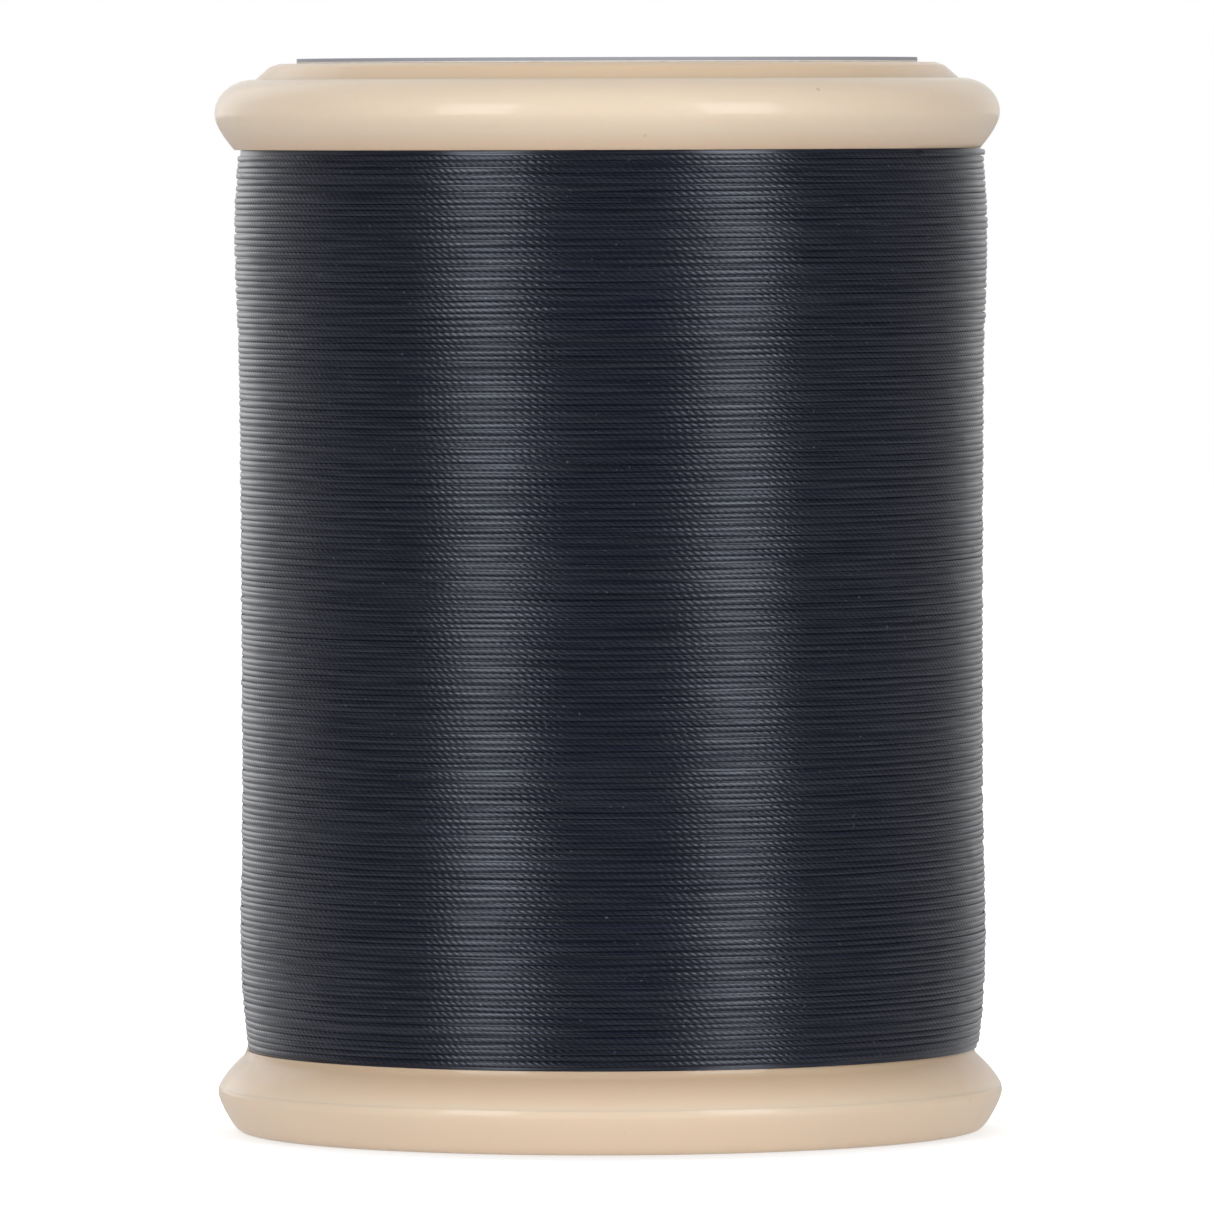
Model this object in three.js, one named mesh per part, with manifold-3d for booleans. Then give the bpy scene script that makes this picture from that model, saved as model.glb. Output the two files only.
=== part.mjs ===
// Spool of sewing thread with a snap-open base.
// Millimetres, +Z up. The origin is the centre of the foot ring, on the surface that the spool stands on.
import * as THREE from 'three';
import { mergeVertices } from 'three/addons/utils/BufferGeometryUtils.js';
import Module from 'manifold-3d';

const wasm = await Module();
wasm.setup();

// Driving dimensions
const SEGMENTS = 48;
const FLANGE_RADIUS = 20;
const FIT_GAP = 0.08;
const CHAMFER = 0.3;
const SNAP_TRAVEL = 1.5;

// Heights of the stack, from the foot up
const FOOT_RECESS_Z = 0.8;
const WEB_TOP_Z = 1.6;
const SEAM_Z = 2.25;
const LOWER_FLANGE_TOP_Z = 4.15;
const UPPER_FLANGE_UNDER_Z = 50.05;
const RIM_WIDEST_Z = 51.8;
const RIM_TOP_Z = 53.55;
const CAP_TOP_Z = 54.35;

// Radii, from the spool pin outwards
const PIN_BORE_RADIUS = 4;
const PIN_TUBE_RADIUS = 5.2;
const HUB_RADIUS = 6.5;
const COLLAR_RADIUS = 9.87;
const SPIGOT_BORE_RADIUS = COLLAR_RADIUS + FIT_GAP;
const SPIGOT_RADIUS = 11.24;
const BARREL_BORE_RADIUS = SPIGOT_RADIUS + FIT_GAP;
const BARREL_RADIUS = 12.6;
const CAP_RADIUS = 17.9;
const CAP_LAND_RADIUS = 18;

// Snap base and its fingers
const FOOT_INNER_RADIUS = 15.8;
const FOOT_OUTER_RADIUS = 18.75;
const LOCK_LIP_RADIUS = 19.2;
const COLLAR_THICKNESS = 1.25;
const SPIGOT_LENGTH = 4.1;
const HUB_TOP_Z = 7;
const HOOK_REACH = 0.75;
const HOOK_HEIGHT = 0.9;
const FINGER_COUNT = 4;
const FINGER_SLOT_WIDTH = 2.4;

// Cored recess of the upper flange
const RECESS_FLOOR_Z = 51.4;
const RECESS_INNER_RADIUS = 12;
const RECESS_OUTER_RADIUS = 17.1;
const RIB_COUNT = 8;
const RIB_THICKNESS = 0.9;

// Labels
const LABEL_THICKNESS = 0.2;
const LABEL_GAP = 0.05;
const LABEL_TOP_Z = CAP_TOP_Z + LABEL_GAP + LABEL_THICKNESS;
const TOP_LABEL_RADIUS = 15.8;
const TOP_LABEL_HOLE_RADIUS = 4.9;
const BASE_LABEL_RADIUS = 14.8;
const BASE_LABEL_HOLE_RADIUS = 7;

// Thread
const THREAD_DIAMETER = 0.3;
const WINDING_RADIUS = 19;
const NOTCH_WIDTH = 1;
const NOTCH_TOP_Z = 3.15;
const NOTCH_ANGLE = Math.PI / 2;
const TUCK_ARC = THREE.MathUtils.degToRad(55);

const CREAM = 0xe3cfb2;
const NAVY = 0x20232e;
const LABEL_BLUE = 0x3c4664;
const LABEL_PAPER = 0xd9d6cf;

function plastic() {
  return new THREE.MeshStandardMaterial({ color: CREAM, roughness: 0.38, metalness: 0 });
}

function threadFibre() {
  return new THREE.MeshStandardMaterial({ color: NAVY, roughness: 0.6, metalness: 0 });
}

function printedPaper(color) {
  return new THREE.MeshStandardMaterial({ color, roughness: 0.7, metalness: 0 });
}

function mesh(name, geometry, material) {
  const piece = new THREE.Mesh(geometry, material);
  piece.name = name;
  return piece;
}

// An outline is a list of [radius, height] points that runs anticlockwise and closes on itself.
function revolve(outline) {
  const points = [...outline, outline[0]].map(([radius, height]) => new THREE.Vector2(radius, height));
  const geometry = new THREE.LatheGeometry(points, SEGMENTS);
  geometry.rotateX(Math.PI / 2);
  return geometry;
}

function closed(geometry) {
  geometry.deleteAttribute('normal');
  geometry.deleteAttribute('uv');
  return mergeVertices(geometry, 1e-4);
}

function toSolid(geometry) {
  const joined = closed(geometry);
  return new wasm.Manifold(new wasm.Mesh({
    numProp: 3,
    vertProperties: new Float32Array(joined.attributes.position.array),
    triVerts: new Uint32Array(joined.index.array),
  }));
}

function toGeometry(solid) {
  const found = solid.getMesh();
  const geometry = new THREE.BufferGeometry();
  geometry.setAttribute('position', new THREE.BufferAttribute(found.vertProperties, 3));
  geometry.setIndex(new THREE.BufferAttribute(found.triVerts, 1));
  return geometry;
}

// A block whose radial side runs from innerRadius to outerRadius at the given angle about Z.
function radialBlock(angle, innerRadius, outerRadius, width, lowZ, highZ) {
  const block = new THREE.BoxGeometry(outerRadius - innerRadius, width, highZ - lowZ);
  block.translate((innerRadius + outerRadius) / 2, 0, (lowZ + highZ) / 2);
  block.rotateZ(angle);
  return toSolid(block);
}

// Points of a quadratic curve between two ends, with the start left out.
function bend(start, control, end, steps) {
  const curve = new THREE.QuadraticBezierCurve(
    new THREE.Vector2(...start), new THREE.Vector2(...control), new THREE.Vector2(...end));
  return curve.getPoints(steps).slice(1).map((point) => [point.x, point.y]);
}

// Points of a quarter ellipse that leaves its widest point upwards, with the start left out.
function quarterEllipse(centre, reach, height, steps) {
  const angles = Array.from({ length: steps }, (_, step) => ((step + 1) / steps) * (Math.PI / 2));
  return angles.map((angle) => [centre[0] + reach * Math.cos(angle), centre[1] + height * Math.sin(angle)]);
}

// The tube that the thread is wound on.
function coreBarrel() {
  const foot = LOWER_FLANGE_TOP_Z + FIT_GAP;
  const head = UPPER_FLANGE_UNDER_Z - FIT_GAP;
  return revolve([
    [BARREL_BORE_RADIUS + CHAMFER, foot],
    [BARREL_RADIUS, foot],
    [BARREL_RADIUS, head],
    [BARREL_BORE_RADIUS + CHAMFER, head],
    [BARREL_BORE_RADIUS, head - CHAMFER],
    [BARREL_BORE_RADIUS, foot + CHAMFER],
  ]);
}

// The fixed half of the lower flange, with the spigot that plugs the barrel and stops the snap hooks.
function lowerFlange() {
  const under = SEAM_Z + FIT_GAP;
  const spigotTop = LOWER_FLANGE_TOP_Z + SPIGOT_LENGTH;
  const ridge = [19.94, under];
  const slope = [19.6, 2.98];
  const shoulder = [18.8, 3.7];
  const fillet = [18.6, 3.86];
  const threadSeat = [18.55, LOWER_FLANGE_TOP_Z];
  const body = toSolid(revolve([
    [SPIGOT_BORE_RADIUS, under],
    ridge,
    ...bend(ridge, slope, shoulder, 5),
    ...bend(shoulder, fillet, threadSeat, 3),
    [SPIGOT_RADIUS, LOWER_FLANGE_TOP_Z],
    [SPIGOT_RADIUS, spigotTop - CHAMFER],
    [SPIGOT_RADIUS - CHAMFER, spigotTop],
    [SPIGOT_BORE_RADIUS, spigotTop],
  ]));
  const notchInner = LOCK_LIP_RADIUS - 0.4;
  const notch = radialBlock(NOTCH_ANGLE, notchInner, FLANGE_RADIUS + 1, NOTCH_WIDTH, WEB_TOP_Z, NOTCH_TOP_Z);
  return toGeometry(body.subtract(notch));
}

// The upper flange: a rounded rim, a cored recess under the cap, and a spigot that plugs the barrel.
function upperFlange() {
  const land = RIM_TOP_Z - FIT_GAP;
  const spigotEnd = UPPER_FLANGE_UNDER_Z - SPIGOT_LENGTH;
  const threadSeat = [19, UPPER_FLANGE_UNDER_Z];
  const rimFoot = [19.1, 50.17];
  const rimBelly = [19.93, 51.2];
  const rimWaist = [FLANGE_RADIUS, RIM_WIDEST_Z];
  const rimReach = FLANGE_RADIUS - CAP_LAND_RADIUS;
  const body = toSolid(revolve([
    [SPIGOT_BORE_RADIUS, spigotEnd],
    [SPIGOT_RADIUS - CHAMFER, spigotEnd],
    [SPIGOT_RADIUS, spigotEnd + CHAMFER],
    [SPIGOT_RADIUS, UPPER_FLANGE_UNDER_Z],
    threadSeat,
    rimFoot,
    ...bend(rimFoot, rimBelly, rimWaist, 5),
    ...quarterEllipse([CAP_LAND_RADIUS, RIM_WIDEST_Z], rimReach, RIM_TOP_Z - RIM_WIDEST_Z, 7),
    [CAP_LAND_RADIUS, land],
    [RECESS_OUTER_RADIUS, land],
    [RECESS_OUTER_RADIUS, RECESS_FLOOR_Z],
    [RECESS_INNER_RADIUS, RECESS_FLOOR_Z],
    [RECESS_INNER_RADIUS, land],
    [SPIGOT_BORE_RADIUS, land],
  ]));
  const rooted = 0.3;
  const ribInner = RECESS_INNER_RADIUS - rooted;
  const ribOuter = RECESS_OUTER_RADIUS + rooted;
  const ribFoot = RECESS_FLOOR_Z - rooted;
  const ribTop = land - 0.6;
  const ribs = Array.from({ length: RIB_COUNT }, (_, rib) => radialBlock(
    (rib + 0.5) * (2 * Math.PI / RIB_COUNT), ribInner, ribOuter, RIB_THICKNESS, ribFoot, ribTop));
  return toGeometry(ribs.reduce((solid, rib) => solid.add(rib), body));
}

// The raised disc that closes the upper flange, with a plug ring and the collar that grips the pin tube.
function topCap() {
  const under = RIM_TOP_Z;
  const plugEnd = under - 3;
  const plugBore = COLLAR_RADIUS - 0.9;
  const collarEnd = under - 4;
  const tubeSocket = PIN_TUBE_RADIUS + FIT_GAP;
  const mouth = PIN_BORE_RADIUS + 0.2;
  const shoulder = [17.15, 54.2];
  const shoulderTop = [16.95, CAP_TOP_Z];
  const crown = [16.4, CAP_TOP_Z];
  return revolve([
    [mouth, under],
    [tubeSocket, under],
    [tubeSocket, collarEnd],
    [HUB_RADIUS, collarEnd],
    [HUB_RADIUS, under],
    [plugBore, under],
    [plugBore, plugEnd],
    [COLLAR_RADIUS - CHAMFER, plugEnd],
    [COLLAR_RADIUS, plugEnd + CHAMFER],
    [COLLAR_RADIUS, under],
    [CAP_RADIUS, under],
    shoulder,
    ...bend(shoulder, shoulderTop, crown, 3),
    [mouth + CHAMFER, CAP_TOP_Z],
    [mouth, CAP_TOP_Z - CHAMFER],
  ]);
}

// The sleeve that a spool pin passes through, from the cap down into the base's hub.
function pinTube() {
  const foot = FOOT_RECESS_Z + FIT_GAP;
  const head = RIM_TOP_Z - FIT_GAP;
  return revolve([
    [PIN_BORE_RADIUS + CHAMFER, foot],
    [PIN_TUBE_RADIUS - CHAMFER, foot],
    [PIN_TUBE_RADIUS, foot + CHAMFER],
    [PIN_TUBE_RADIUS, head],
    [PIN_BORE_RADIUS, head],
    [PIN_BORE_RADIUS, foot + CHAMFER],
  ]);
}

// The moving half of the lower flange. It slides down to open the gap that traps the thread's end.
function snapBase() {
  const hubBore = PIN_TUBE_RADIUS + FIT_GAP;
  const collarBore = COLLAR_RADIUS - COLLAR_THICKNESS;
  const hookUnder = LOWER_FLANGE_TOP_Z + SPIGOT_LENGTH + SNAP_TRAVEL + FIT_GAP;
  const hookTop = hookUnder + HOOK_HEIGHT;
  const foot = [FOOT_OUTER_RADIUS, 0];
  const heel = [19.3, 0.46];
  const ridge = [FLANGE_RADIUS, 2];
  const body = toSolid(revolve([
    [hubBore, FOOT_RECESS_Z],
    [FOOT_INNER_RADIUS - CHAMFER, FOOT_RECESS_Z],
    [FOOT_INNER_RADIUS, 0],
    foot,
    ...bend(foot, [19, 0.03], heel, 3),
    ...bend(heel, [19.9, 1.36], ridge, 4),
    [FLANGE_RADIUS - 0.03, SEAM_Z],
    [LOCK_LIP_RADIUS, SEAM_Z],
    [LOCK_LIP_RADIUS - 0.15, WEB_TOP_Z],
    [COLLAR_RADIUS, WEB_TOP_Z],
    [COLLAR_RADIUS, hookUnder],
    [COLLAR_RADIUS + HOOK_REACH, hookUnder],
    [COLLAR_RADIUS + HOOK_REACH, hookUnder + CHAMFER],
    [COLLAR_RADIUS - CHAMFER, hookTop],
    [collarBore, hookTop],
    [collarBore, WEB_TOP_Z],
    [HUB_RADIUS, WEB_TOP_Z],
    [HUB_RADIUS, HUB_TOP_Z],
    [hubBore, HUB_TOP_Z],
  ]));
  const clear = 0.5;
  const slotFoot = WEB_TOP_Z + 1.6;
  const slots = Array.from({ length: FINGER_COUNT }, (_, finger) => radialBlock(
    (finger + 0.5) * (2 * Math.PI / FINGER_COUNT),
    collarBore - clear, COLLAR_RADIUS + HOOK_REACH + clear, FINGER_SLOT_WIDTH, slotFoot, hookTop + clear));
  return toGeometry(slots.reduce((solid, slot) => solid.subtract(slot), body));
}

// A round sticker with a pin hole, under the given height.
function label(holeRadius, outerRadius, topZ) {
  return revolve([
    [holeRadius, topZ - LABEL_THICKNESS],
    [outerRadius, topZ - LABEL_THICKNESS],
    [outerRadius, topZ],
    [holeRadius, topZ],
  ]);
}

// The wound thread as one body: its outer face swells a little under each flange and at the waist.
function threadPackage() {
  const foot = LOWER_FLANGE_TOP_Z + FIT_GAP;
  const head = UPPER_FLANGE_UNDER_Z - FIT_GAP;
  const swell = new THREE.SplineCurve([
    [foot, -0.42], [5, -0.25], [7, -0.06], [10.5, 0.03], [16.5, -0.1], [30, -0.07],
    [39.5, -0.01], [45.5, 0.21], [48.6, 0.09], [head, -0.1],
  ].map(([height, offset]) => new THREE.Vector2(WINDING_RADIUS + offset, height)));
  const face = swell.getPoints(20).map((point) => [point.x, point.y]);
  const bore = BARREL_RADIUS + FIT_GAP;
  return revolve([[bore, foot], ...face, [bore, head]]);
}

function around(radius, angle, height) {
  return new THREE.Vector3(radius * Math.cos(angle), radius * Math.sin(angle), height);
}

// The running end of the thread: clockwise off the last wrap, as seen from above, down the flange, in
// through the notch and along the chamber above the snap base.
function threadEnd() {
  const tuckRadius = LOCK_LIP_RADIUS - 0.75;
  const tuckZ = WEB_TOP_Z + 0.36;
  const lead = THREE.MathUtils.degToRad(5);
  const tuckSteps = 5;
  const tuck = Array.from({ length: tuckSteps + 1 }, (_, step) => around(
    tuckRadius, NOTCH_ANGLE - lead - (TUCK_ARC * step) / tuckSteps, tuckZ));
  const route = new THREE.CatmullRomCurve3([
    around(19.06, NOTCH_ANGLE + 2.6 * lead, 4.72),
    around(19.06, NOTCH_ANGLE + 1.2 * lead, 4.62),
    around(19.04, NOTCH_ANGLE + 0.35 * lead, 4.25),
    around(19.08, NOTCH_ANGLE + 0.1 * lead, 3.8),
    around(19.26, NOTCH_ANGLE, 3.45),
    around(19.54, NOTCH_ANGLE, 3.1),
    around(19.5, NOTCH_ANGLE, 2.8),
    around(19.25, NOTCH_ANGLE, 2.52),
    around(18.95, NOTCH_ANGLE - 0.1 * lead, 2.28),
    ...tuck,
  ]);
  const sides = 8;
  const section = new THREE.Shape(Array.from({ length: sides }, (_, side) => {
    const turn = side * (2 * Math.PI / sides);
    return new THREE.Vector2(Math.cos(turn), Math.sin(turn)).multiplyScalar(THREAD_DIAMETER / 2);
  }));
  return new THREE.ExtrudeGeometry(section, { steps: 60, bevelEnabled: false, extrudePath: route });
}

const spool = new THREE.Group();
spool.add(
  mesh('core_barrel', coreBarrel(), plastic()),
  mesh('lower_flange', lowerFlange(), plastic()),
  mesh('upper_flange', upperFlange(), plastic()),
  mesh('top_cap', topCap(), plastic()),
  mesh('pin_tube', pinTube(), plastic()),
  mesh('top_label', label(TOP_LABEL_HOLE_RADIUS, TOP_LABEL_RADIUS, LABEL_TOP_Z), printedPaper(LABEL_BLUE)),
  mesh('thread_package', threadPackage(), threadFibre()),
  mesh('thread_end', threadEnd(), threadFibre()),
);

const base = new THREE.Group();
base.add(
  mesh('snap_base', snapBase(), plastic()),
  mesh('base_label', label(BASE_LABEL_HOLE_RADIUS, BASE_LABEL_RADIUS, FOOT_RECESS_Z - LABEL_GAP),
    printedPaper(LABEL_PAPER)),
);
spool.add(base);

export default spool;
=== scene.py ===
import math

import bpy
import numpy as np
from mathutils import Matrix, Quaternion, Vector


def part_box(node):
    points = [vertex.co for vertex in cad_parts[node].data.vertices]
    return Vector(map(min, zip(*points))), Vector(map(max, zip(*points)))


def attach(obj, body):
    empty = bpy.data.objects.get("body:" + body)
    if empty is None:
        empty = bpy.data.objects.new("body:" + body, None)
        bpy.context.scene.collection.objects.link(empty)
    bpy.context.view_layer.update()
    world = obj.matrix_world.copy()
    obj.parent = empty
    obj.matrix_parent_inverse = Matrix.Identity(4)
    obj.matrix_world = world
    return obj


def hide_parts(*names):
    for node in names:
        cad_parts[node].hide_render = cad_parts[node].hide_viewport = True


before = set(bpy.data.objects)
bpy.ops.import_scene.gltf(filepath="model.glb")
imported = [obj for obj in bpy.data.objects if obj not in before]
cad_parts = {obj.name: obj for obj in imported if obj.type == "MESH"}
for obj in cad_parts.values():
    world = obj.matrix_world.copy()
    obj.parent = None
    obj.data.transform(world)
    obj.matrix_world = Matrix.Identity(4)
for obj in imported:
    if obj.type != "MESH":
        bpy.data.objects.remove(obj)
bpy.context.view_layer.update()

MM = 0.001


def low(node):
    """The lowest corner of a CAD node, in millimetres."""
    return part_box(node)[0] / MM


def high(node):
    """The highest corner of a CAD node, in millimetres."""
    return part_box(node)[1] / MM


# How finely round shapes are cut up, and the turn in degrees above which an edge stays sharp
SEGMENTS = 288
CREASE = 40

# Driving dimensions, from the frame where it holds them. A fit gap is left between pieces that hold each
# other, and a seam gap between faces that would lie in one plane. The upper flange's underside is 0.07 mm
# lower than the CAD's, as the photograph shows it.
FIT_GAP = 0.03
SEAM_GAP = 0.003
SNAP_TRAVEL = 1.5
FLANGE_RADIUS = high("snap_base").x
FOOT_RECESS_Z = 0.8
WEB_TOP_Z = 1.6
SEAM_Z = 2.28
LOWER_FLANGE_TOP_Z = 4.15
UPPER_FLANGE_UNDER_Z = 49.98
RIM_WIDEST_Z = 51.8
RIM_TOP_Z = 53.55
CAP_TOP_Z = high("top_cap").z
SPOOL_TOP_Z = high("top_label").z
PIN_BORE_RADIUS = 4
PIN_TUBE_RADIUS = high("pin_tube").x
HUB_RADIUS = 6.5
COLLAR_RADIUS = 9.87
SPIGOT_BORE_RADIUS = 9.95
SPIGOT_RADIUS = 11.24
SPIGOT_LENGTH = 4.1
BARREL_RADIUS = high("core_barrel").x
CAP_RADIUS = high("top_cap").x
CAP_LAND_RADIUS = 18
LOCK_LIP_RADIUS = 19.2
TOP_LABEL_RADIUS = 15.8
BASE_LABEL_RADIUS = 14.8
NOTCH_ANGLE = math.radians(90)

# The thread: three plies, which turn once round each other in LAY and stand out by PLY_RELIEF of its radius
THREAD_DIAMETER = 0.3
PLIES = 3
LAY = 1.17
PLY_RELIEF = 0.2

# A wrap of the winding, pressed flat between its neighbours, and the winding's shift to the right
WRAP_PITCH = 0.304
WRAP_HALF_HEIGHT = 0.153
WRAP_HALF_DEPTH = 0.071
WINDING_OFF_CENTRE = 0.17

# Colours of the plastic. Where the flanges and the cap face the thread or the ledge below, they get a
# darker, warmer painted shade.
CREAM = (0.66, 0.512, 0.378, 1)
PAINTED_SHADE_FLANGE_TOP = (0.47, 0.335, 0.22, 1)
# The rim's colour is lighter and paler than the plastic's, as painted light, and the cap's is darker, as
# painted shade.
PAINTED_LIGHT_RIM_COLOUR = (0.67, 0.55, 0.42, 1)
PAINTED_SHADE_RIM_UNDERSIDE = (0.66, 0.47, 0.33, 1)
PAINTED_SHADE_CAP_COLOUR = (0.63, 0.47, 0.32, 1)
PAINTED_SHADE_CAP_FOOT = (0.57, 0.415, 0.285, 1)

# The camera: level with the upper rim, far away, and tilted and rolled a little
CAMERA_DISTANCE = 725
CAMERA_SIDE = -0.087
EYE_Z = 52.13
AIM_Z = 26.63
CAMERA_ROLL = math.radians(-0.18)
FIELD_WIDTH = 61.9
SENSOR_WIDTH = 36


def around(radius, angle, height):
    """A point at that radius and angle about the spool's axis, in millimetres."""
    return Vector((radius * math.cos(angle), radius * math.sin(angle), height))


def add_camera():
    """The photograph's view. The field's width is measured at the spool's axis."""
    eye = Vector((CAMERA_SIDE, -CAMERA_DISTANCE, EYE_Z))
    aim = Vector((CAMERA_SIDE, 0, AIM_Z))
    lens = bpy.data.cameras.new("camera")
    lens.sensor_width = SENSOR_WIDTH
    lens.lens = SENSOR_WIDTH * (aim - eye).length / FIELD_WIDTH
    camera = bpy.data.objects.new("camera", lens)
    camera.location = eye * MM
    level = (aim - eye).to_track_quat("-Z", "Y")
    camera.rotation_euler = (level @ Quaternion((0, 0, 1), CAMERA_ROLL)).to_euler()
    bpy.context.collection.objects.link(camera)
    bpy.context.scene.camera = camera


def thread_end_route():
    """The running end: off the lowest wrap at the back, in through the notch and along the chamber."""
    lead = math.radians(5)
    tuck_radius = LOCK_LIP_RADIUS - 0.75
    tuck_z = WEB_TOP_Z + 0.36
    tuck_arc = math.radians(55)
    tuck_steps = 5
    tuck = [
        around(tuck_radius, NOTCH_ANGLE - lead - tuck_arc * step / tuck_steps, tuck_z)
        for step in range(tuck_steps + 1)
    ]
    return [
        around(18.8, NOTCH_ANGLE + 4.2 * lead, 4.6),
        around(18.98, NOTCH_ANGLE + 2.6 * lead, 4.68),
        around(19.06, NOTCH_ANGLE + 1.2 * lead, 4.62),
        around(19.04, NOTCH_ANGLE + 0.35 * lead, 4.25),
        around(19.08, NOTCH_ANGLE + 0.1 * lead, 3.8),
        around(19.26, NOTCH_ANGLE, 3.45),
        around(19.54, NOTCH_ANGLE, 3.1),
        around(19.5, NOTCH_ANGLE, 2.8),
        around(19.25, NOTCH_ANGLE, 2.52),
        around(18.95, NOTCH_ANGLE - 0.1 * lead, 2.28),
        *tuck,
    ]


# ---------------------------------------------------------------------------------------------------------
# Meshes
# ---------------------------------------------------------------------------------------------------------

def mesh_object(name, vertices, faces, crease=CREASE):
    """An object from vertices in millimetres. Edges that turn by more than `crease` degrees stay sharp."""
    mesh = bpy.data.meshes.new(name)
    sizes = [len(face) for face in faces]
    starts = np.concatenate([[0], np.cumsum(sizes)[:-1]])
    mesh.vertices.add(len(vertices))
    mesh.vertices.foreach_set("co", (np.asarray(vertices, dtype=np.float32) * MM).ravel())
    mesh.loops.add(sum(sizes))
    mesh.loops.foreach_set("vertex_index", np.concatenate(faces).astype(np.int32))
    mesh.polygons.add(len(faces))
    mesh.polygons.foreach_set("loop_start", starts.astype(np.int32))
    mesh.update(calc_edges=True)
    mesh.shade_smooth()
    mesh.set_sharp_from_angle(angle=math.radians(crease))
    made = bpy.data.objects.new(name, mesh)
    bpy.context.collection.objects.link(made)
    return made


def grid_faces(rows, columns):
    """Quads between rings of vertices. A column is a ring, and its `rows` vertices are numbered in turn."""
    row, column = np.meshgrid(np.arange(rows), np.arange(columns - 1))
    row = row.ravel()
    here = column.ravel() * rows
    there = here + rows
    above = (row + 1) % rows
    return np.stack([here + row, there + row, there + above, here + above], axis=1)


def bend(start, control, end, steps=10):
    """Points of a quadratic curve between two ends, with the start left out."""
    part = np.linspace(0, 1, steps + 1)[1:, None]
    start, control, end = np.array(start), np.array(control), np.array(end)
    curve = (1 - part) ** 2 * start + 2 * part * (1 - part) * control + part ** 2 * end
    return [tuple(point) for point in curve]


def quarter_ellipse(centre, reach, height, steps=16):
    """Points of a quarter ellipse that leaves its widest point upwards, with the start left out."""
    angles = np.linspace(0, math.pi / 2, steps + 1)[1:]
    return [(centre[0] + reach * math.cos(a), centre[1] + height * math.sin(a)) for a in angles]


def soften(outline, steps=5):
    """Rounds each corner that has a third value, the radius of its fillet."""
    rounded = []
    for index, corner in enumerate(outline):
        here = Vector(corner[:2])
        if len(corner) < 3:
            rounded.append(here)
            continue
        before = (Vector(outline[index - 1][:2]) - here).normalized()
        after = (Vector(outline[(index + 1) % len(outline)][:2]) - here).normalized()
        half = before.angle(after) / 2
        centre = here + (before + after).normalized() * corner[2] / math.sin(half)
        reach = corner[2] / math.tan(half)
        start = (here + before * reach - centre).normalized()
        end = (here + after * reach - centre).normalized()
        rounded += [centre + start.slerp(end, step / steps) * corner[2] for step in range(steps + 1)]
    return rounded


def revolve(name, outline):
    """A body of revolution. Its outline, (radius, height, fillet), runs anticlockwise and closes itself."""
    points = np.array([tuple(point) for point in soften(outline)])
    rows = len(points)
    angle = np.linspace(0, 2 * math.pi, SEGMENTS, endpoint=False)[:, None]
    radius, height = points[:, 0], points[:, 1]
    places = np.broadcast_arrays(radius * np.cos(angle), radius * np.sin(angle), height)
    vertices = np.stack(places, axis=2).reshape(-1, 3)
    # The ring after the last one is the first one again.
    faces = grid_faces(rows, SEGMENTS + 1) % len(vertices)
    made = mesh_object(name, vertices, list(faces))
    even = made.modifiers.new("even_normals", "WEIGHTED_NORMAL")
    even.keep_sharp = True
    return made


def radial_block(angle, inner_radius, outer_radius, width, low_z, high_z, arched=False):
    """A block whose long side points outwards at that angle. Its top can be a half round."""
    half = width / 2
    if arched:
        arch_steps = 12
        turns = np.linspace(0, math.pi, arch_steps + 1)
        top = [(half * math.cos(turn), high_z - half + half * math.sin(turn)) for turn in turns]
    else:
        top = [(half, high_z), (-half, high_z)]
    section = [(-half, low_z), (half, low_z), *top]
    count = len(section)
    outwards = Vector((math.cos(angle), math.sin(angle), 0))
    sideways = Vector((-math.sin(angle), math.cos(angle), 0))
    vertices = [
        outwards * radius + sideways * across + Vector((0, 0, height))
        for radius in (inner_radius, outer_radius) for across, height in section
    ]
    sides = [[k, (k + 1) % count, count + (k + 1) % count, count + k] for k in range(count)]
    ends = [list(range(count))[::-1], list(range(count, 2 * count))]
    return mesh_object("cutter", vertices, sides + ends)


def carve(piece, operation, cutters):
    """Joins the cutters to the piece, or cuts them out of it, for good."""
    for cutter in cutters:
        step = piece.modifiers.new("carve", "BOOLEAN")
        step.operation = operation
        step.solver = "EXACT"
        step.object = cutter
        piece.modifiers.move(len(piece.modifiers) - 1, 0)
    even = piece.modifiers["even_normals"]
    even.show_viewport = False
    finished = piece.evaluated_get(bpy.context.evaluated_depsgraph_get())
    shape = bpy.data.meshes.new_from_object(finished)
    even.show_viewport = True
    for step in [found for found in piece.modifiers if found.type == "BOOLEAN"]:
        piece.modifiers.remove(step)
    piece.data = shape
    shape.shade_smooth()
    shape.set_sharp_from_angle(angle=math.radians(CREASE))
    for cutter in cutters:
        bpy.data.objects.remove(cutter)


def through(points, steps):
    """A smooth curve through the points: a centripetal Catmull-Rom curve, with `steps` to a span."""
    ends = [points[0] * 2 - points[1], *points, points[-1] * 2 - points[-2]]
    curve = []
    for a, b, c, d in zip(ends, ends[1:], ends[2:], ends[3:]):
        before, middle, after = (math.sqrt(leg.length) for leg in (b - a, c - b, d - c))
        leave = (c - b) + ((b - a) / before - (c - a) / (before + middle)) * middle
        arrive = (c - b) + ((d - c) / after - (d - b) / (middle + after)) * middle
        for step in range(steps):
            t = step / steps
            curve.append(
                b * (2 * t ** 3 - 3 * t ** 2 + 1) + leave * (t ** 3 - 2 * t ** 2 + t)
                + c * (3 * t ** 2 - 2 * t ** 3) + arrive * (t ** 3 - t ** 2))
    return curve + [points[-1]]


def evenly(points, spacing):
    """The same curve with its points a constant distance apart, as an array."""
    points = np.array(points)
    steps = np.linalg.norm(np.diff(points, axis=0), axis=1)
    length = np.concatenate([[0], np.cumsum(steps)])
    wanted = np.linspace(0, length[-1], max(2, round(length[-1] / spacing)))
    return np.stack([np.interp(wanted, length, points[:, axis]) for axis in range(3)], axis=1)


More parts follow.
